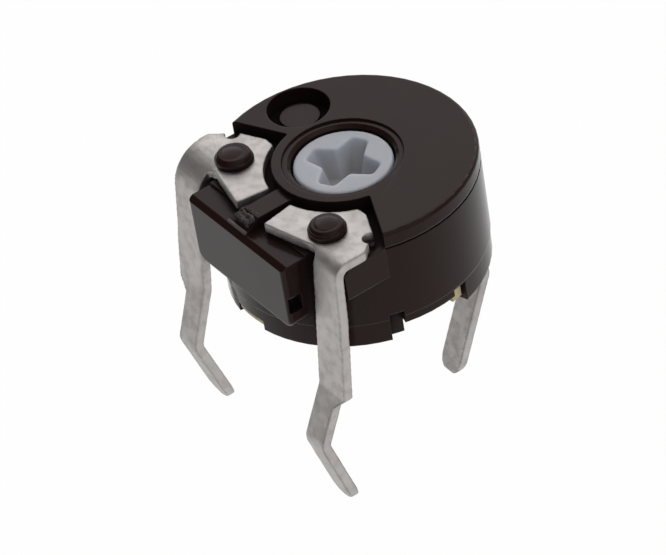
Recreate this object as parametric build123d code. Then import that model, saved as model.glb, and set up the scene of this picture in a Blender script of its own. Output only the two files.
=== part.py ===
from build123d import *
import os
from math import cos, degrees, radians, sin, sqrt, tan

# A single-turn carbon trimmer potentiometer with a top adjuster and three kinked board pins.
# Millimetres. Z = 0 is the board surface at the sloping pin shoulders, and Z is the rotor axis.
# The two track terminals stand in front at -Y and the wiper terminal at the rear at +Y.

# Overall sizes
pin_pitch = 5.0
body_radius = 3.14
plate_height = 3.80
skirt_lift = 0.75
overrun = 1.0

# Top plate of the housing
rim_band = 0.38
parting_width = 0.05
parting_depth = 0.04
rim_round = 0.09
floor_drop = 0.37
top_wall = 0.45
cut_start = 0.42
cut_angle = 25.0
collar_wall = 0.43
ring_width = 0.20
ring_depth = 0.05
countersink = 0.08
pocket_reach = 2.28
pocket_angle = 170.6
pocket_radius = 0.75
pocket_depth = 0.45
pip_radius = 0.48
pip_drop = 0.24

# Front block, platform and rib of the housing
snout_half = 1.87
snout_height = 1.85
snout_chamfer = 0.15
snout_chamfer_drop = 0.08
snout_round = 0.10
snout_low_round = 0.28
ledge_width = 0.64
ledge_drop = 0.06
side_notch_depth = 0.25
side_notch_inset = 0.04
side_notch_length = 0.35
side_notch_height = 0.42
side_notch_lift = 0.48
platform_half = 2.97
platform_height = 0.85
rib_width = 0.55
rib_inset = 0.54
rib_foot_inset = 0.16
rib_drop = 0.14
post_spread = 3.66
post_inset = 0.478
post_radius = 0.27
head_radius = 0.45
head_taper = 0.05
head_height = 0.25
head_crown = 0.10
locator_radius = 0.10
locator_drop = 0.16

# Skirt of the housing and its rim windows
skirt_wall = 0.44
seat_ledge = 0.20
band_height = 0.60
band_step = 0.03
lip_width = 0.16
lip_angle = 26.0
lip_middle_angles = (45, 135, 225, 315)
front_window_angle = 18.0
front_window_height = 0.25
side_window_start_angle = -15.5
side_window_end_angle = 10.0
side_window_height = 0.38
key_notch_angle = 7.0
key_notch_height = 0.55
draft_notch_angle = 6.5
draft_notch_height = 0.75
draft_notch_depth = 0.22
rear_window_width = 1.35
rear_window_height = 0.17

# Rotor
rotor_radius = 1.17
rotor_drop = 0.13
rotor_round = 0.06
running_clearance = 0.05
cross_angle = 27.0
cross_reach = 0.88
cross_root = 0.49
cross_end_width = 0.42
cross_depth = 0.78
cross_floor_share = 0.62
cross_root_round = 0.11
cross_end_round = 0.10
flange_radius = 1.60
flange_share = 0.34
flange_clearance = 0.03
stop_lug_gap = 0.20
stop_lug_angle = 24.0
stop_clearance_angle = 1.5
stop_gap = 0.30
stop_overlap = 0.10
travel_angle = 235.0
boss_radius = 0.50
stake_radius = 0.66
stake_height = 0.16
pilot_radius = 0.36
pilot_clearance = 0.06
pilot_reach = 0.10

# Wiper contact
wiper_gauge = 0.12
wiper_ring_radius = 1.28
wiper_width = 0.74
wiper_slit = 0.12
wiper_bend = 0.12
wiper_knee = 1.36
wiper_tip_inset = 0.04
wiper_tip_lift = 0.20
wiper_lift = 0.02
collector_touch = 0.84
boss_clearance = 0.02

# Resistive element
substrate_thickness = 0.45
substrate_clearance = 0.02
film_thickness = 0.05
track_width = 0.54
track_margin = 0.10
track_angle = 240.0
pad_angle = 54.0
key_inset = 0.06
side_key_inset = 0.16
key_clearance = 0.03

# Sheet metal terminals
terminal_gauge = 0.25
collar_gap = 0.19
rib_gap = 0.135
blade_back_x = 1.66
blade_corner_x = 1.95
blade_corner_y = 0.77
blade_corner_round = 0.12
blade_lip_x = 2.62
blade_lip_y = 1.08
blade_notch_x = 2.70
blade_notch_y = 1.23
blade_notch_radius = 0.17
blade_wing_y = 1.62
blade_wing_round = 0.06
blade_flare = 0.13
blade_front_inset = 0.50
blade_slant = 0.392
post_clearance = 0.02
pin_width = 0.68
neck_width = 0.875
neck_drop = 0.55
neck_taper = 0.90
shoulder_width = 0.29
shoulder_step = 0.03
shoulder_height = 1.52
shoulder_lift = 0.01
shoulder_sink = 0.29
shoulder_round = 0.12
web_reach = 0.26
web_round = 0.28
pin_inset = 0.80
pin_bend = 0.28
pin_lean = 0.40
neck_lift = 0.05
kink_out = 0.605
kink_drop = 1.20
kink_round = 0.30
pin_tuck = 0.60
pin_length = 3.20
tip_round = 0.30
left_neck_extra = 0.09
left_pin_stray = 0.18
left_pin_bend = 0.80
left_neck_lift = 0.26
left_kink_out = 0.52
left_pin_tuck = 0.67
lug_width = 0.50
lug_inset = 0.14
lug_clearance = 0.04

# Wiper terminal
collector_gauge = 0.23
collector_ring_radius = 1.35
collector_tube_wall = 0.20
collector_flange_radius = 1.00
collector_flange = 0.12
collector_clearance = 0.02
rear_pin_width = 0.72
rear_strap_width = 1.24
rear_shoulder_chamfer = 0.20
rear_bend = 0.26
rear_inset = 0.58
rear_lean = 0.19
rear_kink_out = 0.45
rear_kink_drop = 1.35
rear_tuck = 1.16
rear_pin_length = 3.92

# Heights worked out from the sizes above
floor_z = plate_height - floor_drop
ledge_z = floor_z - ledge_drop
ceiling_z = floor_z - top_wall
band_z = skirt_lift + band_height
substrate_low = skirt_lift + (skirt_wall - seat_ledge) / 2
substrate_top = substrate_low + substrate_thickness
film_top = substrate_top + film_thickness
blade_top = floor_z + terminal_gauge
rotor_top = plate_height - rotor_drop
flange_top = ceiling_z - flange_clearance
flange_low = flange_top - flange_share * (flange_top - film_top)
wiper_low = flange_low - wiper_gauge
snout_low = floor_z - snout_height

# Radii and places worked out from the sizes above
bore_radius = rotor_radius + running_clearance
collar_radius = bore_radius + collar_wall
seat_radius = body_radius - skirt_wall
cavity_radius = seat_radius - seat_ledge
track_outer = cavity_radius - track_margin
track_inner = track_outer - track_width
wiper_touch = (track_inner + track_outer) / 2
wiper_tip_reach = track_outer - wiper_tip_inset
stop_lug_reach = cavity_radius - stop_lug_gap
ledge_line = body_radius - ledge_width
pin_line = body_radius - pin_inset
left_pin_line = pin_line + left_pin_stray
rear_line = body_radius - rear_inset
lug_back_y = track_inner + lug_inset
blade_front_y = body_radius - blade_front_inset
blade_root_y = blade_front_y - blade_slant
post_front = blade_root_y - post_inset
tube_inner = pilot_radius + pilot_clearance
tube_outer = tube_inner + collector_tube_wall
post_x = post_spread / 2
pin_inner_x = pin_pitch / 2 - pin_width / 2
pin_outer_x = pin_pitch / 2 + pin_width / 2
neck_outer_x = pin_inner_x + neck_width
strip_outer_x = pin_outer_x + shoulder_width
relief_y = pin_line - terminal_gauge / 2 - post_clearance
rib_half = rib_width / 2
blade_inner_x = rib_half + rib_gap
lug_inner_x = blade_inner_x + blade_flare
blade_arc = collar_radius + collar_gap
stop_half = 180 - travel_angle / 2 - stop_lug_angle / 2 - stop_clearance_angle
front = -90
rear = 90


def disc(radius, low, high):
    """A round plug on the rotor axis between two heights."""
    base = (Align.CENTER, Align.CENTER, Align.MIN)
    return Pos(0, 0, low) * Cylinder(radius, high - low, align=base)


def block(x, y, z):
    """A box given by its lowest and highest x, y and z."""
    centre = [(low + high) / 2 for low, high in (x, y, z)]
    size = [high - low for low, high in (x, y, z)]
    return Pos(*centre) * Box(*size)


def prism(outline, low, high):
    """A flat outline raised between two heights."""
    return Pos(0, 0, low) * extrude(outline, amount=high - low, dir=(0, 0, 1))


def sector(inner, outer, middle, span, low, high):
    """A slice of a ring about the rotor axis, centred on an angle in degrees."""
    inside = CenterArc((0, 0), inner, middle - span / 2, span)
    outside = CenterArc((0, 0), outer, middle - span / 2, span)
    sides = [Line(inside @ 0, outside @ 0), Line(inside @ 1, outside @ 1)]
    return prism(make_face([inside, outside] + sides), low, high)


def strip(points, radii, gauge, x):
    """A bent strip of sheet: a centre line in y and z, made one gauge thick between two x."""
    line = FilletPolyline(*[(y, z) for y, z in points], radius=radii)
    low, high = x
    return Pos(low, 0, 0) * extrude(Plane.YZ * trace(line, gauge), amount=high - low, dir=(1, 0, 0))


def both_sides(piece):
    """A piece and its mirror image across the middle plane."""
    return [piece, mirror(piece, about=Plane.YZ)]


def cutaway_outline():
    """The front sector of the top plate that is open down to the floor, round the collar."""
    far = body_radius + overrun
    near_y = -cut_start
    far_y = near_y - (far - collar_radius) * tan(radians(cut_angle))
    right = [(0, near_y), (collar_radius, near_y), (far, far_y), (far, -far)]
    left = [(-x, y) for x, y in reversed(right[1:])]
    return make_face(Polyline(*right, *left, close=True)) - Circle(collar_radius)


def snout():
    """The front block under the terminals, tangent to the round body."""
    face_y = -body_radius
    body = block((-snout_half, snout_half), (face_y, 0), (snout_low, ledge_z))
    body = fillet(body.edges().filter_by(Axis.Y).group_by(Axis.Z)[0], snout_low_round)
    top = body.faces().sort_by(Axis.Z)[-1]
    top_front = top.edges().group_by(Axis.Y)[0]
    body = chamfer(top_front, snout_chamfer, snout_chamfer_drop, reference=top)
    body = fillet(body.edges().filter_by(Axis.Z).group_by(Axis.Y)[0], snout_round)
    notch_y = (face_y + side_notch_inset, face_y + side_notch_inset + side_notch_length)
    notch_z = (snout_low + side_notch_lift, snout_low + side_notch_lift + side_notch_height)
    notch = block((snout_half - side_notch_depth, snout_half + overrun), notch_y, notch_z)
    return body - both_sides(notch)


def rib():
    """The rib between the two terminals, its front end sloping down where the gate broke off."""
    back = -bore_radius - collar_wall / 2
    top = plate_height - rib_drop
    reach = -body_radius + rib_inset
    foot = -body_radius + rib_foot_inset
    outline = Polyline((back, ledge_z), (back, top), (reach, top), (foot, ledge_z), close=True)
    return Pos(-rib_half, 0, 0) * extrude(Plane.YZ * make_face(outline), amount=rib_width, dir=(1, 0, 0))


def pin_relief(root):
    """The clearance behind a front pin, with a slope under its sheet from where that starts to bend."""
    slope = relief_y - root + 2 * post_clearance
    foot = -relief_y
    far = -body_radius - overrun
    outline = Polyline(
        (far, skirt_lift - overrun),
        (foot, skirt_lift - overrun),
        (foot, floor_z - slope),
        (foot + slope, floor_z),
        (foot + slope, plate_height),
        (far, plate_height),
        close=True,
    )
    cut = extrude(Plane.YZ * make_face(outline), amount=platform_half + overrun - snout_half, dir=(1, 0, 0))
    return Pos(snout_half, 0, 0) * cut


def rivet():
    """A moulded post through a terminal, its end heat-formed to a crowned head."""
    profile = Polyline(
        (0, floor_z - top_wall / 2),
        (post_radius, floor_z - top_wall / 2),
        (post_radius, blade_top),
        (head_radius, blade_top),
        (head_radius - head_taper, blade_top + head_height),
        (0, blade_top + head_height),
        close=True,
    )
    crown = Vector(head_radius - head_taper, blade_top + head_height)
    face = make_face(profile)
    face = fillet(face.vertices().sort_by_distance(crown)[0], head_crown)
    head = revolve(Plane.XZ * face, Axis.Z)
    return Pos(post_x, -post_front, 0) * head


def skirt_windows():
    """The rim windows round the skirt: front and rear gaps, side gaps, key notches and draft notches."""
    inner = cavity_radius
    outer = body_radius + overrun
    low = skirt_lift - overrun
    cuts = [sector(inner, outer, front, front_window_angle, low, skirt_lift + front_window_height)]
    span = side_window_end_angle - side_window_start_angle
    middle = (side_window_end_angle + side_window_start_angle) / 2
    gap = sector(inner, outer, middle, span, low, skirt_lift + side_window_height)
    key_middle = side_window_end_angle + key_notch_angle / 2
    key = sector(inner, outer, key_middle, key_notch_angle, low, skirt_lift + key_notch_height)
    shallow = body_radius - draft_notch_depth
    draft_middle = side_window_start_angle - draft_notch_angle / 2
    draft = sector(shallow, outer, draft_middle, draft_notch_angle, low, skirt_lift + draft_notch_height)
    for cut in (gap, key, draft):
        cuts += both_sides(cut)
    half = rear_window_width / 2
    cuts.append(block((-half, half), (0, outer), (low, skirt_lift + rear_window_height)))
    return cuts


def lug_slot():
    """The slot that a track terminal's contact lug goes down through."""
    x = (lug_inner_x - lug_clearance, lug_inner_x + terminal_gauge + lug_clearance)
    y = (-lug_back_y - lug_width - lug_clearance, -lug_back_y + lug_clearance)
    return block(x, y, (substrate_top, floor_z + overrun))


def make_housing():
    """The moulded housing: top plate, collar, front block, rivets and skirt in one piece."""
    far = body_radius + overrun
    body = disc(body_radius, skirt_lift, plate_height)
    body = fillet(body.edges().group_by(Axis.Z)[-1], rim_round)
    band = disc(far, skirt_lift - overrun, band_z)
    body -= band - disc(body_radius - band_step, skirt_lift - overrun, band_z)
    groove_top = plate_height - rim_band
    groove = disc(far, groove_top - parting_width, groove_top)
    body -= groove - disc(body_radius - parting_depth, groove_top - parting_width, groove_top)
    platform_z = (floor_z - platform_height, floor_z)
    body += block((-platform_half, platform_half), (-relief_y, 0), platform_z) & prism(
        cutaway_outline(), *platform_z
    )
    body -= pin_relief(pin_line - pin_bend)
    body -= mirror(pin_relief(left_pin_line - left_pin_bend), about=Plane.YZ)
    snout_x = (-snout_half, snout_half)
    snout_middle = (snout_low + ledge_z) / 2
    body -= block(snout_x, (-far, -ledge_line), (snout_middle, plate_height + overrun))
    body += snout()
    body -= prism(cutaway_outline(), floor_z, plate_height + overrun)
    body += rib()
    seat = disc(seat_radius, skirt_lift - overrun, substrate_top)
    cavity = disc(cavity_radius, substrate_top, ceiling_z)
    stop_low = flange_low - stop_overlap
    stop_inner = flange_radius + stop_gap
    cavity -= sector(stop_inner, far, front, 2 * stop_half, stop_low, ceiling_z)
    body -= seat
    body -= cavity
    body += both_sides(rivet())
    locator = disc(locator_radius, floor_z - top_wall / 2, blade_top - locator_drop)
    body += both_sides(Pos(blade_notch_x, -blade_notch_y, 0) * locator)
    body -= both_sides(lug_slot())
    body -= disc(bore_radius, ceiling_z - overrun, plate_height + overrun)
    ring_radius = bore_radius + ring_width
    body -= disc(ring_radius, plate_height - ring_depth, plate_height + overrun)
    cone_top = plate_height - ring_depth
    base = (Align.CENTER, Align.CENTER, Align.MAX)
    cone = Cone(bore_radius, bore_radius + countersink, countersink, align=base)
    body -= Pos(0, 0, cone_top) * cone
    pocket_place = Rot(0, 0, pocket_angle) * Pos(pocket_reach, 0, 0)
    pocket = disc(pocket_radius, plate_height - pocket_depth, plate_height + overrun)
    pocket -= disc(pip_radius, plate_height - pocket_depth, plate_height - pip_drop)
    body -= pocket_place * pocket
    body -= skirt_windows()
    for angle in lip_middle_angles:
        inner = seat_radius - lip_width
        outer = seat_radius + skirt_wall / 2
        body += sector(inner, outer, angle, lip_angle, skirt_lift, substrate_low)
    return body


def cross_outline(share):
    """The four-armed driver recess, drawn in towards its middle by a share."""
    corners = []
    for arm in range(4):
        turn = Rot(0, 0, cross_angle + 90 * arm)
        reach = cross_reach * share
        half = cross_end_width / 2 * share
        root = cross_root * share
        for x, y in ((reach, -half), (reach, half), (root * cos(radians(45)), root * sin(radians(45)))):
            corners.append((turn * Pos(x, y, 0)).position)
    face = make_face(Polyline(*corners, close=True))
    middle = share * (cross_root + cross_reach) / 2
    roots = [v for v in face.vertices() if Vector(v).length < middle]
    face = fillet(roots, cross_root_round * share)
    ends = [v for v in face.vertices() if Vector(v).length > cross_reach * share]
    return fillet(ends, cross_end_round * share)


def make_rotor():
    """The moulded rotor: adjuster with a cross recess, flange, stop lug, staked boss and lower pilot."""
    body = disc(rotor_radius, flange_top, rotor_top)
    body = fillet(body.edges().group_by(Axis.Z)[-1], rotor_round)
    body += disc(flange_radius, flange_low, flange_top)
    lug_inner = flange_radius - (flange_radius - rotor_radius) / 2
    body += sector(lug_inner, stop_lug_reach, rear, stop_lug_angle, flange_low, flange_top)
    body += disc(boss_radius, wiper_low, flange_low)
    stake_low = wiper_low - stake_height
    body += disc(stake_radius, stake_low, wiper_low)
    body += disc(pilot_radius, substrate_low - pilot_reach, stake_low)
    top = Pos(0, 0, rotor_top) * cross_outline(1)
    low = Pos(0, 0, rotor_top - cross_depth) * cross_outline(cross_floor_share)
    return body - loft([top.face(), low.face()], ruled=True)


def make_wiper():
    """The sprung wiper: a staked ring, a slit arm on the track and a folded arm on the collector."""
    ring = disc(wiper_ring_radius, wiper_low, flange_low)
    ring -= disc(boss_radius + boss_clearance, wiper_low - overrun, flange_low + overrun)
    middle_z = flange_low - wiper_gauge / 2
    start = boss_radius + wiper_gauge
    touch_z = film_top + wiper_lift + wiper_gauge / 2
    half = wiper_width / 2
    route = [(start, middle_z), (wiper_knee, middle_z), (wiper_touch, touch_z)]
    route.append((wiper_tip_reach, touch_z + wiper_tip_lift))
    arm = strip(route, wiper_bend, wiper_gauge, (-half, half))
    slit = wiper_slit / 2
    arm -= block((-slit, slit), (wiper_knee, wiper_tip_reach + overrun), (0, middle_z + wiper_gauge))
    collector_z = substrate_top + collector_flange + wiper_lift + wiper_gauge / 2
    inner_route = [(-start, middle_z), (-wiper_knee, middle_z), (-collector_touch, collector_z)]
    inner_arm = strip(inner_route, wiper_bend, wiper_gauge, (-half, half))
    arms = arm + inner_arm
    arms -= disc(boss_radius + boss_clearance, wiper_low - overrun, flange_low + overrun)
    return ring + arms


def make_substrate():
    """The laminate disc under the track, keyed in the skirt by a front tab and two side tabs."""
    tab_reach = body_radius - key_inset
    body = disc(seat_radius - substrate_clearance, substrate_low, substrate_top)
    gap = degrees(2 * key_clearance / body_radius)
    window_top = skirt_lift + front_window_height - key_clearance
    inner = cavity_radius
    body += sector(inner, tab_reach, front, front_window_angle - gap, substrate_low, window_top)
    key_middle = side_window_end_angle + key_notch_angle / 2
    key_reach = body_radius - side_key_inset
    key = sector(inner, key_reach, key_middle, key_notch_angle - gap, substrate_low, substrate_top)
    body += both_sides(key)
    return body - disc(tube_outer + collector_clearance, substrate_low - overrun, substrate_top + overrun)


def make_track():
    """The screened carbon horseshoe on top of the substrate."""
    return sector(track_inner, track_outer, rear, track_angle, substrate_top, film_top)


def make_end_pad():
    """The right-hand silvered pad that carries on from the end of the track."""
    middle = rear - track_angle / 2 - pad_angle / 2
    return sector(track_inner, track_outer, middle, pad_angle, substrate_top, film_top)


def blade_outline(neck_x):
    """The right-hand terminal's flat blade, seen from above."""
    arc_start = -sqrt(blade_arc**2 - blade_inner_x**2)
    arc_end = -sqrt(blade_arc**2 - blade_back_x**2)
    middle = blade_arc * sin(radians(45))
    inner = ThreePointArc((blade_inner_x, arc_start), (middle, -middle), (blade_back_x, arc_end))
    outer = Polyline(
        (blade_back_x, arc_end),
        (blade_corner_x, -blade_corner_y),
        (blade_lip_x, -blade_lip_y),
        (neck_x, -blade_wing_y),
        (neck_x, -blade_front_y),
        (pin_inner_x, -blade_front_y),
        (pin_inner_x, -blade_root_y),
        (lug_inner_x, -blade_front_y),
        (blade_inner_x, arc_start),
    )
    face = make_face([inner] + outer.edges())
    corner = Vector(blade_corner_x, -blade_corner_y)
    face = fillet(face.vertices().sort_by_distance(corner)[0], blade_corner_round)
    wing = Vector(neck_x, -blade_wing_y)
    face = fillet(face.vertices().sort_by_distance(wing)[0], blade_wing_round)
    return face - Pos(blade_notch_x, -blade_notch_y, 0) * Circle(blade_notch_radius)


def leg_outline(neck_x, lift):
    """The right-hand terminal's leg and pin seen from the front: neck, shoulder and rounded tip."""
    web_x = pin_inner_x - web_reach
    shoulder_x = strip_outer_x + shoulder_step
    neck_z = blade_top - neck_drop
    face = make_face(
        Polyline(
            (web_x, plate_height),
            (neck_x, plate_height),
            (neck_x, neck_z),
            (strip_outer_x, neck_z - neck_taper),
            (strip_outer_x, shoulder_height),
            (shoulder_x, shoulder_height - shoulder_step),
            (shoulder_x, lift + shoulder_lift),
            (pin_outer_x, lift - shoulder_sink),
            (pin_outer_x, -pin_length),
            (pin_inner_x, -pin_length),
            (pin_inner_x, 0),
            (web_x, 0),
            close=True,
        )
    )
    shoulder = Vector(shoulder_x, lift + shoulder_lift)
    face = fillet(face.vertices().sort_by_distance(shoulder)[0], shoulder_round)
    return fillet(face.vertices().group_by(Axis.Y)[0], tip_round)


def web_outline(root_y):
    """The sheet seen square on to the middle of its bend, with a round in the corner by the blade."""
    far = plate_height + pin_length
    tilt = cos(radians(45))
    slope = blade_slant / (pin_inner_x - lug_inner_x)
    corner = (-blade_root_y - root_y) * tilt
    face = make_face(
        Polyline(
            (-far, far),
            (far, far),
            (far, -far),
            (0, -far),
            (0, corner),
            (-far, corner - slope * tilt * far),
            close=True,
        )
    )
    return fillet(face.vertices().sort_by_distance(Vector(0, corner))[0], web_round)


def pin_outline(width, edges, length):
    """The rear pin seen square on, with sloping shoulders down to the board and a rounded tip."""
    base = (Align.CENTER, Align.MIN)
    pin = Pos(0, -length) * Rectangle(width, length + plate_height, align=base)
    pin = fillet(pin.vertices().group_by(Axis.Y)[0], tip_round)
    inner, outer = edges
    shoulder = Pos((inner + outer) / 2, 0) * Rectangle(outer - inner, plate_height, align=base)
    return pin + chamfer(shoulder.vertices().group_by(Axis.Y)[0], rear_shoulder_chamfer)


def make_track_terminal(neck_x, line, bend, lift, out, tuck):
    """The right-hand track terminal: blade, contact lug and a bent leg that ends in a kinked pin."""
    middle_z = floor_z + terminal_gauge / 2
    kink_y = -line - pin_lean - out
    route = [
        (-cut_start, middle_z),
        (-line, middle_z),
        (-line - pin_lean, lift),
        (kink_y, -kink_drop),
        (kink_y + tuck, -pin_length),
    ]
    web_x = pin_inner_x - web_reach
    strip_x = (web_x, strip_outer_x + shoulder_step)
    bent = strip(route, [bend, kink_round, kink_round], terminal_gauge, strip_x)
    far = body_radius + overrun
    front_view = extrude(Plane.XZ * leg_outline(neck_x, lift), amount=far, dir=(0, -1, 0))
    root_y = bend - line
    facing = Plane(origin=(pin_inner_x, root_y, blade_top), x_dir=(1, 0, 0), z_dir=(0, -1, 1))
    web_view = extrude(facing * web_outline(root_y), amount=plate_height + pin_length, both=True)
    pin = bent & front_view & web_view & block((0, far), (-far, root_y), (-far, plate_height))
    top_view = prism(blade_outline(neck_x), floor_z, blade_top)
    blade = top_view & block((0, far), (root_y, 0), (floor_z, blade_top))
    blade += top_view & block((0, web_x), (-far, root_y), (floor_z, blade_top))
    lug_x = (lug_inner_x, lug_inner_x + terminal_gauge)
    lug = block(lug_x, (-lug_back_y - lug_width, -lug_back_y), (film_top, blade_top))
    hole = Pos(post_x, -post_front, 0) * disc(post_radius + post_clearance, 0, plate_height)
    return pin + blade + lug - hole


def make_collector():
    """The wiper terminal: ring and drawn eyelet through the substrate, and the kinked rear pin."""
    high = substrate_low
    low = high - collector_gauge
    middle_z = (low + high) / 2
    body = disc(collector_ring_radius, low, high)
    body += disc(tube_outer, low, substrate_top + collector_flange)
    body += disc(collector_flange_radius, substrate_top, substrate_top + collector_flange)
    kink_y = rear_line + rear_lean + rear_kink_out
    route = [
        (tube_outer, middle_z),
        (rear_line, middle_z),
        (rear_line + rear_lean, 0),
        (kink_y, -rear_kink_drop),
        (kink_y - rear_tuck, -rear_pin_length),
    ]
    strap_x = (-rear_strap_width / 2, rear_strap_width / 2)
    bent = strip(route, [rear_bend, kink_round, kink_round], collector_gauge, strap_x)
    outline = pin_outline(rear_pin_width, strap_x, rear_pin_length)
    far = body_radius + overrun
    body += bent & extrude(Plane.XZ * outline, amount=far, dir=(0, 1, 0))
    return body - disc(tube_inner, low - overrun, plate_height)


os.makedirs("parts", exist_ok=True)
right_pad = make_end_pad()
right_terminal = make_track_terminal(neck_outer_x, pin_line, pin_bend, neck_lift, kink_out, pin_tuck)
left_terminal = make_track_terminal(
    neck_outer_x + left_neck_extra,
    left_pin_line,
    left_pin_bend,
    left_neck_lift,
    left_kink_out,
    left_pin_tuck,
)
pieces = {
    "housing": make_housing(),
    "rotor": make_rotor(),
    "wiper_contact": make_wiper(),
    "resistor_substrate": make_substrate(),
    "carbon_track": make_track(),
    "right_end_pad": right_pad,
    "left_end_pad": mirror(right_pad, about=Plane.YZ),
    "right_track_terminal": right_terminal,
    "left_track_terminal": mirror(left_terminal, about=Plane.YZ),
    "wiper_terminal": make_collector(),
}
for name, piece in pieces.items():
    export_step(piece, f"parts/{name}.step")
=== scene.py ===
from math import cos, radians, sin

import bpy
from mathutils import Matrix, Vector


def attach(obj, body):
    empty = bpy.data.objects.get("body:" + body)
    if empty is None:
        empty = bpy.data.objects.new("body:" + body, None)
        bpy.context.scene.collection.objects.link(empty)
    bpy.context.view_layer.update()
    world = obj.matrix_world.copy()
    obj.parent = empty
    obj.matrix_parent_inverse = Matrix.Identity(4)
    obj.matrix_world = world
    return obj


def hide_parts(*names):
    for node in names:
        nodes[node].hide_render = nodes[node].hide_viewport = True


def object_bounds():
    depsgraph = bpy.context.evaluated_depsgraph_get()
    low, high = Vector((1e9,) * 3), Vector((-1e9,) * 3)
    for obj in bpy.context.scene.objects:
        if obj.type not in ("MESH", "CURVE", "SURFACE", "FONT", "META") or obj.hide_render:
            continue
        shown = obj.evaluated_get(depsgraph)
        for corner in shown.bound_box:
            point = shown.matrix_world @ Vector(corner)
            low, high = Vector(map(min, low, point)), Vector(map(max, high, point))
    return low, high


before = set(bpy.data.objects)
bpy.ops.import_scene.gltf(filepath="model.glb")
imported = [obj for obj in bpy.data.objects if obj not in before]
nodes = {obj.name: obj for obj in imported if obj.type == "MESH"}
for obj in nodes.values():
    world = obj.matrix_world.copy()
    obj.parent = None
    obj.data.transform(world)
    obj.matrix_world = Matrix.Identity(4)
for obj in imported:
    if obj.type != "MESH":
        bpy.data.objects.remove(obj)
cad_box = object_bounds()


# Housing: one moulding in dark brown plastic that carries every other piece. Handling has left fine
# scuffs, dust and paler worn corners on it, and its hollows are darkened with painted shade.
def feed(tree, socket, value):
    """One socket joined to another node's output, or set to a plain value."""
    if isinstance(value, bpy.types.NodeSocket):
        tree.links.new(value, socket)
    else:
        socket.default_value = value


def feed_named(tree, node, **values):
    """A node's sockets fed by name, with an underscore for each space."""
    for key, value in values.items():
        feed(tree, node.inputs[key.replace("_", " ")], value)


def add(tree, kind, settings=None, **values):
    """A new node with its settings, and its sockets fed by name."""
    node = tree.nodes.new("ShaderNode" + kind)
    for key, value in (settings or {}).items():
        setattr(node, key, value)
    feed_named(tree, node, **values)
    return node


def own_place(tree):
    """The place on a piece, in the metres that its mesh has."""
    return add(tree, "TexCoord").outputs["Object"]


def noise(tree, place, scale, detail, roughness=0.5):
    """A cloudy value over a place, with its scale in lumps for each metre."""
    node = add(tree, "TexNoise", Vector=place, Scale=scale, Detail=detail, Roughness=roughness)
    return node.outputs["Fac"]


def maths(tree, operation, first, second):
    """The outcome of one sum on two values."""
    node = add(tree, "Math", {"operation": operation})
    feed(tree, node.inputs[0], first)
    feed(tree, node.inputs[1], second)
    return node.outputs[0]


def agreement(tree, first, second):
    """How far two directions agree: 1 where they are the same, 0 where they are square."""
    node = add(tree, "VectorMath", {"operation": "DOT_PRODUCT"})
    feed(tree, node.inputs[0], first)
    feed(tree, node.inputs[1], second)
    return node.outputs["Value"]


def ramp(tree, share, source, result):
    """A value that eases from the first result to the second as a share crosses its source range."""
    node = add(
        tree, "MapRange", {"interpolation_type": "SMOOTHSTEP"}, Value=share,
        From_Min=source[0], From_Max=source[1], To_Min=result[0], To_Max=result[1],
    )
    return node.outputs[0]


def mix_colour(tree, share, low, high):
    """A colour between two others, by a share. The node's colour sockets come after its plain ones."""
    node = add(tree, "Mix", {"data_type": "RGBA"})
    feed(tree, node.inputs[0], share)
    feed(tree, node.inputs[6], low)
    feed(tree, node.inputs[7], high)
    return node.outputs[2]


def lay_over(tree, base, colour, mask, amount):
    """A base with another colour laid over it where a mask is, up to an amount."""
    return mix_colour(tree, maths(tree, "MULTIPLY", mask, amount), base, colour)


def make_mask(name, **inputs):
    """A shader node group that puts out one mask, with its inputs and their usual values."""
    group = bpy.data.node_groups.new(name, "ShaderNodeTree")
    for key, value in inputs.items():
        label = key.replace("_", " ")
        socket = group.interface.new_socket(label, in_out="INPUT", socket_type="NodeSocketFloat")
        socket.default_value = value
    group.interface.new_socket("Mask", in_out="OUTPUT", socket_type="NodeSocketFloat")
    group_in = group.nodes.new("NodeGroupInput").outputs
    group_out = group.nodes.new("NodeGroupOutput").inputs
    return group, group_in, group_out


# worn corners: a mask of the sharp edges, broken up as rubbing leaves them
edge_wear, wear_in, wear_out = make_mask("worn_corners", Width=0.00005, Break_Up=2200.0)
soft_normal = add(edge_wear, "Bevel", {"samples": 6}, Radius=wear_in["Width"]).outputs[0]
true_normal = add(edge_wear, "NewGeometry").outputs["True Normal"]
flatness = agreement(edge_wear, soft_normal, true_normal)
corner = ramp(edge_wear, flatness, (0.99, 0.80), (0.0, 1.0))
patches = noise(edge_wear, own_place(edge_wear), scale=wear_in["Break Up"], detail=3.0)
broken = ramp(edge_wear, patches, (0.42, 0.62), (0.0, 1.0))
feed(edge_wear, wear_out["Mask"], maths(edge_wear, "MULTIPLY", corner, broken))

# dust: small round specks, of which an amount is picked from a field of cells
dust, dust_in, dust_out = make_mask("dust_specks", Scale=4200.0, Amount=0.05)
cells = add(dust, "TexVoronoi", {"feature": "F1"}, Vector=own_place(dust), Scale=dust_in["Scale"])
near = ramp(dust, cells.outputs["Distance"], (0.0, 0.22), (1.0, 0.0))
pick = add(dust, "SeparateColor", Color=cells.outputs["Color"])
chosen = maths(dust, "GREATER_THAN", dust_in["Amount"], pick.outputs[0])
feed(dust, dust_out["Mask"], maths(dust, "MULTIPLY", near, chosen))

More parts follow.
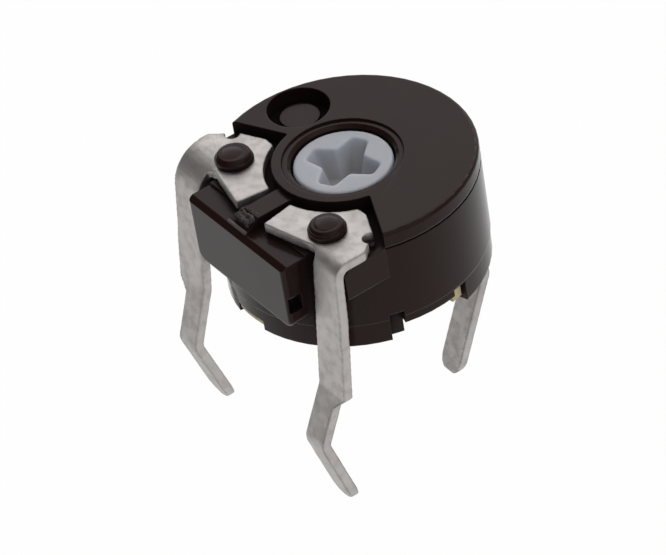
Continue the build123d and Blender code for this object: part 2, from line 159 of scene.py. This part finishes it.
# scratches: fine lines from noise that a small squeeze draws out long, in places only
scratches, scratch_in, scratch_out = make_mask("scratches", Turn=0.9, Scale=1100.0, Squeeze=0.10)
scratch_place = own_place(scratches)
turned = add(
    scratches, "VectorRotate", {"rotation_type": "Z_AXIS"}, Vector=scratch_place, Angle=scratch_in["Turn"]
)
parted = add(scratches, "SeparateXYZ", Vector=turned.outputs[0])
squeezed = maths(scratches, "MULTIPLY", parted.outputs["X"], scratch_in["Squeeze"])
drawn = add(scratches, "CombineXYZ", X=squeezed, Y=parted.outputs["Y"], Z=parted.outputs["Z"])
lines = noise(scratches, drawn.outputs[0], scale=scratch_in["Scale"], detail=2.0)
ridge = maths(scratches, "ABSOLUTE", maths(scratches, "SUBTRACT", lines, 0.5), 0.0)
thin = ramp(scratches, ridge, (0.0, 0.012), (1.0, 0.0))
some = ramp(scratches, noise(scratches, scratch_place, scale=700.0, detail=1.0), (0.50, 0.66), (0.0, 1.0))
feed(scratches, scratch_out["Mask"], maths(scratches, "MULTIPLY", thin, some))


def new_material(name):
    """An empty node material with a Principled BSDF, and that shader."""
    material = bpy.data.materials.new(name)
    material.use_nodes = True
    return material, material.node_tree, material.node_tree.nodes["Principled BSDF"]


def use_mask(tree, group, **values):
    """A mask's node group placed in a material with its own values."""
    node = tree.nodes.new("ShaderNodeGroup")
    node.node_tree = group
    feed_named(tree, node, **values)
    return node.outputs["Mask"]


def bump(tree, height, distance, strength, normal):
    """A bump on top of another normal, with its distance in metres."""
    node = add(tree, "Bump", Height=height, Distance=distance, Strength=strength, Normal=normal)
    return node.outputs[0]


brown_dark = (0.0135, 0.0038, 0.0022, 1.0)
brown_light = (0.0190, 0.0060, 0.0037, 1.0)
rubbed_brown = (0.055, 0.038, 0.032, 1.0)
dust_colour = (0.16, 0.145, 0.13, 1.0)
scuff_colour = (0.10, 0.085, 0.078, 1.0)
painted_shade_colour = (0.0045, 0.0020, 0.0014, 1.0)
shade_reach = 0.0006
shade_roughness = 0.85
moulded_corner = 0.000045
flow_height = 0.000014
grain_height = 0.0000016
brown, brown_tree, brown_shader = new_material("moulded_brown_plastic")
brown_place = own_place(brown_tree)
flow = noise(brown_tree, brown_place, scale=480.0, detail=3.0)
grain = noise(brown_tree, brown_place, scale=14000.0, detail=2.0)
brown_base = mix_colour(brown_tree, flow, brown_dark, brown_light)
brown_wear = use_mask(brown_tree, edge_wear, Width=0.00005, Break_Up=2200.0)
brown_worn = lay_over(brown_tree, brown_base, rubbed_brown, brown_wear, amount=0.30)
brown_dust = use_mask(brown_tree, dust, Scale=4200.0, Amount=0.05)
brown_dusty = lay_over(brown_tree, brown_worn, dust_colour, brown_dust, amount=0.22)
brown_scuff = use_mask(brown_tree, scratches, Turn=0.9, Scale=1100.0, Squeeze=0.10)
brown_scuffed = lay_over(brown_tree, brown_dusty, scuff_colour, brown_scuff, amount=0.06)
# painted shade: in hollows and beside other pieces the brown is darkened nearly to black, and made
# rougher there
shelter = add(brown_tree, "AmbientOcclusion", {"samples": 8}, Distance=shade_reach).outputs["AO"]
brown_painted_shade = ramp(brown_tree, shelter, (0.50, 0.95), (1.0, 0.0))
brown_with_painted_shade = lay_over(brown_tree, brown_scuffed, painted_shade_colour, brown_painted_shade, amount=0.8)
brown_gloss = ramp(brown_tree, flow, (0.3, 0.7), (0.11, 0.19))
brown_dull = maths(brown_tree, "MULTIPLY", brown_painted_shade, shade_roughness)
brown_rough = maths(brown_tree, "MAXIMUM", brown_gloss, brown_dull)
brown_round = add(brown_tree, "Bevel", {"samples": 8}, Radius=moulded_corner).outputs[0]
brown_wavy = bump(brown_tree, flow, distance=flow_height, strength=0.5, normal=brown_round)
brown_grain = bump(brown_tree, grain, distance=grain_height, strength=0.6, normal=brown_wavy)
feed_named(
    brown_tree, brown_shader, Base_Color=brown_with_painted_shade, Roughness=brown_rough,
    Specular_IOR_Level=0.14, Normal=brown_grain,
)


def dress(name, material):
    """The material put on a CAD node in place of its plain one."""
    mesh = nodes[name].data
    mesh.materials.clear()
    mesh.materials.append(material)


dress("housing", brown)

# Gate remains: the rough stub and thin sill of plastic left on the rib and the ledge where the
# runner broke off the moulding. The same plastic as the housing, torn and left untrimmed, with a
# painted highlight on the sill.
millimetre = 0.001


def rough_block(place, size, turn=(0.0, 0.0, 0.0)):
    """One plain block in millimetres, turned by degrees about its axes, with its place in its mesh."""
    bpy.ops.object.select_all(action="DESELECT")
    rotation = [radians(angle) for angle in turn]
    bpy.ops.mesh.primitive_cube_add(size=1.0, location=place, rotation=rotation, scale=size)
    bpy.ops.object.transform_apply(location=True, rotation=True, scale=True)
    return bpy.context.object


def join_pieces(piece, other):
    """One piece made part of another, which is left alone selected."""
    bpy.ops.object.select_all(action="DESELECT")
    other.select_set(True)
    piece.select_set(True)
    bpy.context.view_layer.objects.active = piece
    bpy.ops.object.join()


def apply_modifier(piece, kind, **settings):
    """A modifier set up and applied at once."""
    modifier = piece.modifiers.new(kind.lower(), kind)
    for key, value in settings.items():
        setattr(modifier, key, value)
    bpy.ops.object.modifier_apply(modifier=modifier.name)


def cloud_texture(name, size, depth):
    """Clouds of a size in millimetres, by which a face is pushed in and out."""
    texture = bpy.data.textures.new(name, "CLOUDS")
    texture.noise_scale = size
    texture.noise_depth = depth
    return texture


def scale_mesh(factor):
    """The selected piece's mesh scaled about the origin, with its object left unscaled."""
    bpy.ops.object.mode_set(mode="EDIT")
    bpy.ops.mesh.select_all(action="SELECT")
    bpy.ops.transform.resize(value=(factor, factor, factor), center_override=(0.0, 0.0, 0.0))
    bpy.ops.object.mode_set(mode="OBJECT")


torn_dark = (0.016, 0.010, 0.008, 1.0)
torn_light = (0.058, 0.048, 0.044, 1.0)
sill_painted_highlight = (0.105, 0.088, 0.083, 1.0)
sill_highlight_from = -0.00289
sill_highlight_full = -0.00294
torn_height = 0.000012
torn_brown, torn_tree, torn_shader = new_material("torn_brown_plastic")
torn_place = own_place(torn_tree)
torn_grain = noise(torn_tree, torn_place, scale=7000.0, detail=4.0)
torn_base = mix_colour(torn_tree, torn_grain, torn_dark, torn_light)
torn_parts = add(torn_tree, "SeparateXYZ", Vector=torn_place)
# painted highlight: the sill at the front is painted paler, as a glint where its facet catches the light
torn_painted_highlight = ramp(torn_tree, torn_parts.outputs["Y"], (sill_highlight_from, sill_highlight_full), (0.0, 0.85))
torn_with_painted_highlight = mix_colour(torn_tree, torn_painted_highlight, torn_base, sill_painted_highlight)
torn_rough = ramp(torn_tree, torn_grain, (0.3, 0.7), (0.32, 0.5))
torn_normal = add(torn_tree, "NewGeometry").outputs["Normal"]
torn_bump = bump(torn_tree, torn_grain, distance=torn_height, strength=0.7, normal=torn_normal)
feed_named(
    torn_tree, torn_shader, Base_Color=torn_with_painted_highlight, Roughness=torn_rough,
    Specular_IOR_Level=0.25, Normal=torn_bump,
)

stub_place = (-0.05, -2.66, 3.51)
stub_size = (0.56, 0.40, 0.28)
stub_turn = (6.0, 0.0, 0.0)
stub_step = 0.018
torn_lump_size = 0.16
torn_lump_height = 0.13
gate_stub = rough_block(stub_place, stub_size, stub_turn)
gate_stub.name = "gate_remains"
bpy.ops.object.mode_set(mode="EDIT")
bpy.ops.mesh.select_all(action="SELECT")
bpy.ops.mesh.subdivide(number_cuts=9)
bpy.ops.object.mode_set(mode="OBJECT")
apply_modifier(gate_stub, "REMESH", mode="VOXEL", voxel_size=stub_step, use_smooth_shade=True)
torn = cloud_texture("torn_plastic", torn_lump_size, 3)
torn.noise_type = "HARD_NOISE"
apply_modifier(
    gate_stub, "DISPLACE", texture=torn, texture_coords="LOCAL", strength=torn_lump_height, mid_level=0.42
)
apply_modifier(gate_stub, "SMOOTH", factor=0.5, iterations=2)

sill_place = (-0.10, -2.965, 3.395)
sill_size = (0.72, 0.075, 0.10)
sill_edge = 0.02
gate_sill = rough_block(sill_place, sill_size)
apply_modifier(gate_sill, "BEVEL", width=sill_edge, segments=2)
join_pieces(gate_stub, gate_sill)
scale_mesh(millimetre)
bpy.ops.object.shade_smooth()
gate_stub.data.materials.append(torn_brown)
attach(gate_stub, "housing_body")


# Rivet heads: the tops of the housing's two posts, melted over the terminals with a hot tool. The
# right one is a round dome and the left one leans back a little, both glossy and slightly uneven.
def melted_dome(place, size, lean=0.0):
    """One dome in millimetres, leaning back by degrees below zero, with its place in its mesh."""
    bpy.ops.object.select_all(action="DESELECT")
    bpy.ops.mesh.primitive_uv_sphere_add(
        segments=64, ring_count=32, location=place, rotation=(radians(lean), 0.0, 0.0), scale=size
    )
    bpy.ops.object.transform_apply(location=True, rotation=True, scale=True)
    return bpy.context.object


right_head_place = (1.83, -1.77, 3.76)
right_head_size = (0.455, 0.455, 0.220)
left_head_place = (-1.83, -1.77, 3.76)
left_head_size = (0.465, 0.465, 0.200)
left_head_lean = -4.0
head_step = 0.025
melt_lump_size = 0.35
melt_lump_height = 0.02
right_dome = melted_dome(right_head_place, right_head_size)
left_dome = melted_dome(left_head_place, left_head_size, left_head_lean)
join_pieces(left_dome, right_dome)
left_dome.name = "rivet_heads"
melt = cloud_texture("melted_plastic", melt_lump_size, 1)
apply_modifier(left_dome, "REMESH", mode="VOXEL", voxel_size=head_step, use_smooth_shade=True)
apply_modifier(
    left_dome, "DISPLACE", texture=melt, texture_coords="LOCAL", strength=melt_lump_height, mid_level=0.45
)
apply_modifier(left_dome, "SMOOTH", factor=0.5, iterations=4)
scale_mesh(millimetre)
bpy.ops.object.shade_smooth()
left_dome.data.materials.append(brown)
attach(left_dome, "housing_body")

# Rotor: a separate moulding in pale bluish-grey plastic, put in from below and turned by its cross
# recess. It is a little translucent, with specks of dirt on it and a warmer tone down in the recess.
pale_dark = (0.40, 0.415, 0.46, 1.0)
pale_light = (0.46, 0.475, 0.52, 1.0)
recess_colour = (0.47, 0.455, 0.455, 1.0)
recess_top = 0.00362
recess_low = 0.00300
speck_colour = (0.12, 0.115, 0.11, 1.0)
cloud_height = 0.000006
pale, pale_tree, pale_shader = new_material("pale_rotor_plastic")
pale_place = own_place(pale_tree)
cloud = noise(pale_tree, pale_place, scale=900.0, detail=4.0)
pale_base = mix_colour(pale_tree, cloud, pale_dark, pale_light)
pale_parts = add(pale_tree, "SeparateXYZ", Vector=pale_place)
pale_depth = ramp(pale_tree, pale_parts.outputs["Z"], (recess_top, recess_low), (0.0, 0.6))
pale_deep = mix_colour(pale_tree, pale_depth, pale_base, recess_colour)
pale_speck = use_mask(pale_tree, dust, Scale=5200.0, Amount=0.06)
pale_finish = lay_over(pale_tree, pale_deep, speck_colour, pale_speck, amount=0.25)
pale_rough = ramp(pale_tree, cloud, (0.3, 0.7), (0.38, 0.5))
pale_normal = add(pale_tree, "NewGeometry").outputs["Normal"]
pale_bump = bump(pale_tree, cloud, distance=cloud_height, strength=0.5, normal=pale_normal)
feed_named(
    pale_tree, pale_shader, Base_Color=pale_finish, Roughness=pale_rough, Normal=pale_bump,
    Subsurface_Weight=0.7, Subsurface_Radius=(0.00045, 0.00045, 0.00050), Subsurface_Scale=1.0,
)


def copy_of_solid(name, copy_name):
    """A new object with its own joined copy of a solid's mesh, alone selected."""
    bpy.ops.object.select_all(action="DESELECT")
    copy = bpy.data.objects.new(copy_name, nodes[name].data.copy())
    bpy.context.scene.collection.objects.link(copy)
    bpy.context.view_layer.objects.active = copy
    copy.select_set(True)
    bpy.ops.object.mode_set(mode="EDIT")
    bpy.ops.mesh.select_all(action="SELECT")
    bpy.ops.mesh.remove_doubles(threshold=1e-7)
    bpy.ops.object.mode_set(mode="OBJECT")
    return copy


def ease_corner(piece, place, reach):
    """A piece smoothed further round one place, in millimetres, less and less out to a reach."""
    group = piece.vertex_groups.new(name="eased_corner")
    for vertex in piece.data.vertices:
        gap = (vertex.co - Vector(place)).length / reach
        if gap < 1.0:
            group.add([vertex.index], 1.0 - gap * gap, "REPLACE")
    apply_modifier(piece, "SMOOTH", factor=0.5, iterations=40, vertex_group=group.name)


def round_over(name, copy_name, step, passes, lump_size, lump_height, kept_share, webs=(), eased=()):
    """A copy of a solid, in millimetres while it is worked: edges rounded over, faces slightly uneven."""
    copy = copy_of_solid(name, copy_name)
    scale_mesh(1.0 / millimetre)
    for place, size, turn in webs:
        join_pieces(copy, rough_block(place, size, turn))
    apply_modifier(copy, "REMESH", mode="VOXEL", voxel_size=step, use_smooth_shade=True)
    apply_modifier(copy, "SMOOTH", factor=0.5, iterations=passes)
    for place, reach in eased:
        ease_corner(copy, place, reach)
    lumps = cloud_texture(copy_name + "_lumps", lump_size, 2)
    apply_modifier(
        copy, "DISPLACE", texture=lumps, texture_coords="LOCAL", strength=lump_height, mid_level=0.5
    )
    apply_modifier(copy, "DECIMATE", ratio=kept_share)
    scale_mesh(millimetre)
    bpy.ops.object.shade_smooth()
    copy.data.materials.clear()
    return copy


turned_rotor = round_over(
    "rotor", "rounded_rotor", step=0.026, passes=18, lump_size=0.5, lump_height=0.004, kept_share=0.5
)
turned_rotor.data.materials.append(pale)
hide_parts("rotor")
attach(turned_rotor, "rotor_body")

# Terminals: three strips of thin sheet, punched, bent and tinned. The front two are held under the
# housing's rivets and the rear one by its eyelet through the element. Dull, scratched and pitted.
tin_dark = (0.450, 0.423, 0.408, 1.0)
tin_light = (0.485, 0.459, 0.440, 1.0)
mottle_colour = (0.27, 0.25, 0.235, 1.0)
scratch_colour = (0.60, 0.59, 0.57, 1.0)
pit_colour = (0.13, 0.115, 0.105, 1.0)
edge_colour = (0.12, 0.108, 0.10, 1.0)
edge_reach = 0.00006
dent_height = 0.000014
mottle_height = 0.000008
scratch_height = 0.000005
tin, tin_tree, tin_shader = new_material("tinned_sheet")
tin_place = own_place(tin_tree)
tarnish = noise(tin_tree, tin_place, scale=700.0, detail=5.0, roughness=0.6)
mottle = noise(tin_tree, tin_place, scale=4200.0, detail=4.0)
tin_share = ramp(tin_tree, tarnish, (0.25, 0.75), (0.0, 1.0))
tin_base = mix_colour(tin_tree, tin_share, tin_dark, tin_light)
mottle_share = ramp(tin_tree, mottle, (0.45, 0.75), (0.0, 0.16))
tin_mottled = mix_colour(tin_tree, mottle_share, tin_base, mottle_colour)
tin_line = use_mask(tin_tree, scratches, Turn=0.25, Scale=1500.0, Squeeze=0.12)
tin_lined = lay_over(tin_tree, tin_mottled, scratch_colour, tin_line, amount=0.3)
tin_pit = use_mask(tin_tree, dust, Scale=2800.0, Amount=0.10)
tin_pitted = lay_over(tin_tree, tin_lined, pit_colour, tin_pit, amount=0.4)
edge_settings = {"samples": 12, "inside": True, "only_local": True}
tin_depth = add(tin_tree, "AmbientOcclusion", edge_settings, Distance=edge_reach).outputs["AO"]
tin_edge = ramp(tin_tree, tin_depth, (0.74, 0.93), (0.7, 0.0))
tin_finish = mix_colour(tin_tree, tin_edge, tin_pitted, edge_colour)
tin_rough = ramp(tin_tree, mottle, (0.3, 0.7), (0.44, 0.58))
tin_normal = add(tin_tree, "NewGeometry").outputs["Normal"]
tin_dented = bump(tin_tree, tarnish, distance=dent_height, strength=0.35, normal=tin_normal)
tin_rolled = bump(tin_tree, mottle, distance=mottle_height, strength=0.45, normal=tin_dented)
tin_scored = bump(tin_tree, tin_line, distance=scratch_height, strength=0.6, normal=tin_rolled)
feed_named(
    tin_tree, tin_shader, Base_Color=tin_finish, Roughness=tin_rough, Metallic=1.0, Normal=tin_scored
)

# each web fills the corner between a blade and its bend: its place, its size and its turn
corner_webs = {
    "right_track_terminal": [((2.03, -2.175, 3.53), (0.34, 0.24, 0.22), (8.0, 8.0, 0.0))],
    "left_track_terminal": [((-2.03, -2.10, 3.485), (0.36, 0.42, 0.22), (10.0, -14.0, 0.0))],
    "wiper_terminal": [],
}
blade_corners = {
    "right_track_terminal": [(1.89, -2.31, 3.55), (2.16, -2.24, 3.50)],
    "left_track_terminal": [(-1.89, -2.31, 3.55), (-2.16, -2.24, 3.50)],
    "wiper_terminal": [],
}
corner_reach = 0.24
pin_tips = {
    "right_track_terminal": (2.50, -2.76, -3.13),
    "left_track_terminal": (-2.50, -2.79, -3.13),
    "wiper_terminal": (0.0, 2.07, -3.85),
}
tip_side = Vector((0.31, 0.0, 0.0))
tip_reach = 0.30
for name in corner_webs:
    tip = Vector(pin_tips[name])
    eased = [(place, corner_reach) for place in blade_corners[name]]
    eased += [(tip + tip_side * side, tip_reach) for side in (-1.0, 0.0, 1.0)]
    bent_sheet = round_over(
        name, "bent_" + name, step=0.022, passes=9, lump_size=0.28, lump_height=0.012,
        kept_share=0.45, webs=corner_webs[name], eased=eased,
    )
    bent_sheet.data.materials.append(tin)
    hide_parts(name)
    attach(bent_sheet, "housing_body")

# Resistor substrate: a punched disc of cream phenolic paper laminate, pressed up into the skirt
# and held by four lips. Its cut edge shows in the rim windows, with the fibres of its layers.
cream_dark = (0.50, 0.40, 0.20, 1.0)
cream_light = (0.74, 0.64, 0.40, 1.0)
stain_colour = (0.24, 0.17, 0.08, 1.0)
window_painted_shade = (0.035, 0.020, 0.010, 1.0)
window_shade_reach = 0.0003
fibre_height = 0.000008
layer_squeeze = (1.0, 1.0, 9.0)
cream, cream_tree, cream_shader = new_material("cream_laminate")
layers = add(cream_tree, "Mapping", Vector=own_place(cream_tree), Scale=layer_squeeze)
fibre = noise(cream_tree, layers.outputs[0], scale=2600.0, detail=4.0)
cream_base = mix_colour(cream_tree, fibre, cream_dark, cream_light)
cream_stain = use_mask(cream_tree, dust, Scale=2600.0, Amount=0.15)
cream_stained = lay_over(cream_tree, cream_base, stain_colour, cream_stain, amount=0.4)
# painted shade: the laminate is darkened where it lies in hollows and close to the housing, as in the rim
# windows
cream_shelter = add(cream_tree, "AmbientOcclusion", {"samples": 8}, Distance=window_shade_reach).outputs["AO"]
cream_painted_shade = ramp(cream_tree, cream_shelter, (0.35, 0.75), (0.85, 0.0))
cream_with_painted_shade = mix_colour(cream_tree, cream_painted_shade, cream_stained, window_painted_shade)
cream_rough = ramp(cream_tree, fibre, (0.3, 0.7), (0.55, 0.75))
cream_normal = add(cream_tree, "NewGeometry").outputs["Normal"]
cream_bump = bump(cream_tree, fibre, distance=fibre_height, strength=0.6, normal=cream_normal)
feed_named(cream_tree, cream_shader, Base_Color=cream_with_painted_shade, Roughness=cream_rough, Normal=cream_bump)
dress("resistor_substrate", cream)

# Resistive film: a carbon horseshoe screened on top of the substrate, with a silvered pad at each
# end for the front terminals. Both are cured inks, matt and faintly grainy from the screen.
carbon_dark = (0.010, 0.010, 0.011, 1.0)
carbon_light = (0.032, 0.031, 0.031, 1.0)
carbon, carbon_tree, carbon_shader = new_material("carbon_ink")
screen_marks = noise(carbon_tree, own_place(carbon_tree), scale=9000.0, detail=2.0)
carbon_colour = mix_colour(carbon_tree, screen_marks, carbon_dark, carbon_light)
carbon_rough = ramp(carbon_tree, screen_marks, (0.3, 0.7), (0.45, 0.65))
feed_named(carbon_tree, carbon_shader, Base_Color=carbon_colour, Roughness=carbon_rough)
dress("carbon_track", carbon)

silver_dark = (0.52, 0.51, 0.49, 1.0)
silver_light = (0.74, 0.73, 0.71, 1.0)
silver, silver_tree, silver_shader = new_material("silver_ink")
flakes = noise(silver_tree, own_place(silver_tree), scale=7000.0, detail=3.0)
silver_colour = mix_colour(silver_tree, flakes, silver_dark, silver_light)
silver_rough = ramp(silver_tree, flakes, (0.3, 0.7), (0.42, 0.62))
feed_named(silver_tree, silver_shader, Base_Color=silver_colour, Roughness=silver_rough, Metallic=0.85)
for name in ("right_end_pad", "left_end_pad"):
    dress(name, silver)

# Wiper contact: thin spring bronze, punched, bent and staked under the rotor. Rolling the sheet has
# left fine lines in one direction.
bronze_dark = (0.52, 0.34, 0.17, 1.0)
bronze_light = (0.70, 0.50, 0.29, 1.0)
rolling_squeeze = (14.0, 1.0, 1.0)
bronze, bronze_tree, bronze_shader = new_material("spring_bronze")
rolled = add(bronze_tree, "Mapping", Vector=own_place(bronze_tree), Scale=rolling_squeeze)
rolling = noise(bronze_tree, rolled.outputs[0], scale=900.0, detail=3.0)
bronze_colour = mix_colour(bronze_tree, rolling, bronze_dark, bronze_light)
bronze_rough = ramp(bronze_tree, rolling, (0.3, 0.7), (0.24, 0.40))
feed_named(bronze_tree, bronze_shader, Base_Color=bronze_colour, Roughness=bronze_rough, Metallic=1.0)
dress("wiper_contact", bronze)

# Stage: a pale floor just under the pin tips that is seen as white, a grey surround that is darker
# high on the front left, a large soft lamp behind on the left and a small one on the right.
floor_gap = 0.00002
floor_width = 2.0
floor_dark = (0.80, 0.80, 0.80, 1.0)
floor_light = (0.84, 0.84, 0.84, 1.0)
white = (1.0, 1.0, 1.0, 1.0)
white_share = 0.98
bpy.ops.object.select_all(action="DESELECT")
bpy.ops.mesh.primitive_plane_add(size=floor_width, location=(0.0, 0.0, cad_box[0].z - floor_gap))
floor = bpy.context.object
floor.name = "pale_floor"
floor_paint, floor_tree, floor_shader = new_material("pale_floor_paint")
floor_cloud = noise(floor_tree, own_place(floor_tree), scale=30.0, detail=2.0)
floor_colour = mix_colour(floor_tree, floor_cloud, floor_dark, floor_light)
feed_named(floor_tree, floor_shader, Base_Color=floor_colour, Roughness=0.9, Specular_IOR_Level=0.1)
rays = add(floor_tree, "LightPath").outputs
mirrored = maths(floor_tree, "MAXIMUM", rays["Is Glossy Ray"], rays["Is Transmission Ray"])
seen = maths(floor_tree, "MAXIMUM", rays["Is Camera Ray"], mirrored)
glow = add(floor_tree, "Emission", Color=white, Strength=1.0)
shown = add(floor_tree, "MixShader", Fac=maths(floor_tree, "MULTIPLY", seen, white_share))
floor_tree.links.new(floor_shader.outputs[0], shown.inputs[1])
floor_tree.links.new(glow.outputs[0], shown.inputs[2])
floor_tree.links.new(shown.outputs[0], floor_tree.nodes["Material Output"].inputs["Surface"])
floor.data.materials.append(floor_paint)

surround_strength = 0.53
dark_strength = 0.16
dark_side = Vector((-0.45, -0.75, 0.50)).normalized()
world = bpy.data.worlds.new("grey_surround")
bpy.context.scene.world = world
world.use_nodes = True
surround = world.node_tree
toward = add(surround, "TexCoord").outputs["Generated"]
nearness = agreement(surround, toward, dark_side)
strength = ramp(surround, nearness, (0.50, 0.92), (surround_strength, dark_strength))
feed_named(surround, surround.nodes["Background"], Color=white, Strength=strength)


def soft_lamp(name, azimuth, elevation, distance, size, power):
    """A square area lamp that looks at the middle of the part."""
    turn, lift = radians(azimuth), radians(elevation)
    back = Vector((sin(turn) * cos(lift), -cos(turn) * cos(lift), sin(lift)))
    lamp = bpy.data.lights.new(name, "AREA")
    lamp.shape = "SQUARE"
    lamp.size = size
    lamp.energy = power
    lamp_object = bpy.data.objects.new(name, lamp)
    lamp_object.location = back * distance
    lamp_object.rotation_mode = "QUATERNION"
    lamp_object.rotation_quaternion = back.to_track_quat("Z", "Y")
    bpy.context.scene.collection.objects.link(lamp_object)


soft_lamp("rear_lamp", azimuth=224.0, elevation=44.0, distance=0.25, size=0.32, power=0.32)
soft_lamp("right_lamp", azimuth=100.0, elevation=40.0, distance=0.25, size=0.20, power=0.07)

# Camera: a long lens from high on the right of the front, turned a little about its own axis. The
# point that it aims at comes out beside the middle of the picture, as in the photograph.
view_turn = radians(60.077)
view_lift = radians(38.977)
view_roll = radians(-9.78)
view_distance = 0.1013
focal_pixels = 4382.0
image_width = 666.0
image_height = 555.0
aim = Vector((0.0, 0.0, 0.0018))
aim_pixel = (353.5, 224.4)
back = Vector((sin(view_turn) * cos(view_lift), -cos(view_turn) * cos(view_lift), sin(view_lift)))
level = (-back).cross(Vector((0.0, 0.0, 1.0))).normalized()
upright = level.cross(-back)
right = level * cos(view_roll) + upright * sin(view_roll)
up = upright * cos(view_roll) - level * sin(view_roll)
aside = (aim_pixel[0] - image_width / 2) / focal_pixels * view_distance
above = (image_height / 2 - aim_pixel[1]) / focal_pixels * view_distance
camera_data = bpy.data.cameras.new("photo_camera")
camera_data.sensor_width = 36.0
camera_data.lens = focal_pixels * camera_data.sensor_width / image_width
camera_data.clip_start = 0.005
camera_data.clip_end = 5.0
camera = bpy.data.objects.new("photo_camera", camera_data)
placed = Matrix((right, up, back)).transposed().to_4x4()
placed.translation = aim + back * view_distance - right * aside - up * above
camera.matrix_world = placed
bpy.context.scene.collection.objects.link(camera)
bpy.context.scene.camera = camera
bpy.context.scene.view_settings.view_transform = "Standard"
